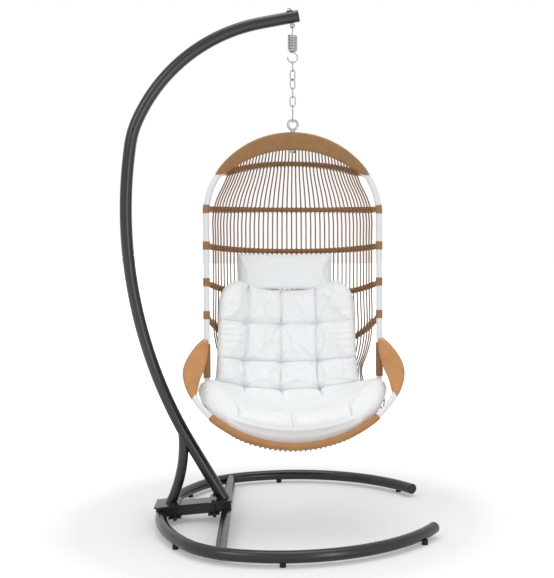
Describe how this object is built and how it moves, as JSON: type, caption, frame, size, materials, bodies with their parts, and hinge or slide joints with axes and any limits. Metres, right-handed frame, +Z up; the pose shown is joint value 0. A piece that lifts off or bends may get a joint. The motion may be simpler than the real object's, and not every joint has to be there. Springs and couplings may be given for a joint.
{
  "type": "hanging egg chair with stand",
  "caption": "Hanging egg chair with a tufted seat and back cushion, hung by a spring and chain from a free-standing C-shaped steel stand on an open ring base.",
  "frame": {"origin": "middle of the box round the whole part at rest, on the floor under its feet", "axes": "+Z up, the chair faces -Y, +X from the pole side to the open end of the base ring"},
  "size_m": [1.1716, 1.1818, 1.9527],
  "materials": {
    "stand_coat": "semi-gloss black powder coat",
    "black_cap": "moulded black plastic",
    "foot_rubber": "black rubber",
    "black_bolt": "blackened steel",
    "bright_steel": "bright zinc plate",
    "spring_steel": "bright zinc plate on drawn wire",
    "white_coat": "gloss white powder coat",
    "brown_weave": "tan-brown resin strand, wound side by side",
    "brown_rod": "tan-brown resin strand",
    "white_fabric": "plain woven white cotton"
  },
  "bodies": {
    "stand": {"base_ring": "stand_coat", "ring_end_caps": "black_cap", "stand_feet": "foot_rubber", "base_cross_member": "stand_coat", "base_spine": "stand_coat", "rear_foot_plate": "stand_coat", "front_foot_plate": "stand_coat", "rear_clamp_plate": "stand_coat", "front_clamp_plate": "stand_coat", "clamp_bolts": "black_bolt", "clamp_washers": "black_bolt", "clamp_nuts": "black_bolt", "lower_pole": "stand_coat", "upper_pole": "stand_coat", "pole_joint_sleeve": "stand_coat", "pole_joint_bolts": "black_bolt", "pole_joint_nuts": "black_bolt", "pole_brace": "stand_coat", "pole_tip_cap": "black_cap", "hang_eye_bolt": "bright_steel", "hang_saddle": "black_cap", "hang_washer": "bright_steel", "hang_cap_nut": "bright_steel"},
    "spring_upper": {"spring_top_loop": "bright_steel", "spring_coil": "spring_steel"},
    "spring_lower": {"spring_bottom_hook": "bright_steel"},
    "link_1": {"chain_link_1": "bright_steel"},
    "link_2": {"chain_link_2": "bright_steel"},
    "link_3": {"chain_link_3": "bright_steel"},
    "link_4": {"chain_link_4": "bright_steel"},
    "link_5": {"chain_link_5": "bright_steel"},
    "link_6": {"chain_link_6": "bright_steel"},
    "chair": {"chair_eye_bolt": "bright_steel", "chair_eye_nut": "bright_steel", "main_hoop": "white_coat", "crown_bow": "white_coat", "crown_wrap": "brown_weave", "rung_1": "white_coat", "rung_2": "white_coat", "rung_3": "white_coat", "rung_4": "white_coat", "rung_5": "white_coat", "rung_6": "white_coat", "rung_collars": "brown_weave", "seat_loop": "white_coat", "front_rail_wrap": "brown_weave", "arm_bow_left": "white_coat", "arm_bow_right": "white_coat", "arm_wrap_left": "brown_weave", "arm_wrap_right": "brown_weave", "side_wrap_left": "brown_weave", "side_wrap_right": "brown_weave", "back_rods_left": "brown_rod", "back_rod_middle": "brown_rod", "back_rods_right": "brown_rod", "main_cushion": "white_fabric", "headrest_pillow": "white_fabric"}
  },
  "joints": [
    {"name": "spring_swing", "type": "hinge", "parent": "stand", "child": "spring_upper", "pos_m": [0.06512, 0, 1.87581], "axis": [1, 0, 0], "range_deg": [-10, 10]},
    {"name": "spring_stretch", "type": "slide", "parent": "spring_upper", "child": "spring_lower", "axis": [0, 0, -1], "range_m": [0, 0.03], "stiffness_N_per_m": 9000, "springref_m": -0.0285, "deforming": ["spring_coil"]},
    {"name": "link_1_swing", "type": "hinge", "parent": "spring_lower", "child": "link_1", "pos_m": [0.06512, 0, 1.74641], "axis": [1, 0, 0], "range_deg": [-10, 10]},
    {"name": "link_2_swing", "type": "hinge", "parent": "link_1", "child": "link_2", "pos_m": [0.06512, 0, 1.71351], "axis": [0, 1, 0], "range_deg": [-3, 1]},
    {"name": "link_3_swing", "type": "hinge", "parent": "link_2", "child": "link_3", "pos_m": [0.06512, 0, 1.68061], "axis": [-0.866, 0.5, 0], "range_deg": [-3, 3]},
    {"name": "link_4_swing", "type": "hinge", "parent": "link_3", "child": "link_4", "pos_m": [0.06512, 0, 1.64771], "axis": [0.866, 0.5, 0], "range_deg": [-3, 3]},
    {"name": "link_5_swing", "type": "hinge", "parent": "link_4", "child": "link_5", "pos_m": [0.06512, 0, 1.61481], "axis": [0, 1, 0], "range_deg": [-3, 1]},
    {"name": "chain_twist", "type": "hinge", "parent": "link_5", "child": "link_6", "pos_m": [0.06512, 0, 1.58191], "axis": [0, 0, 1], "range_deg": [-25, 25]},
    {"name": "chair_swing", "type": "hinge", "parent": "link_6", "child": "chair", "pos_m": [0.06512, 0, 1.52391], "axis": [0, 1, 0], "range_deg": [-3, 1]}
  ]
}
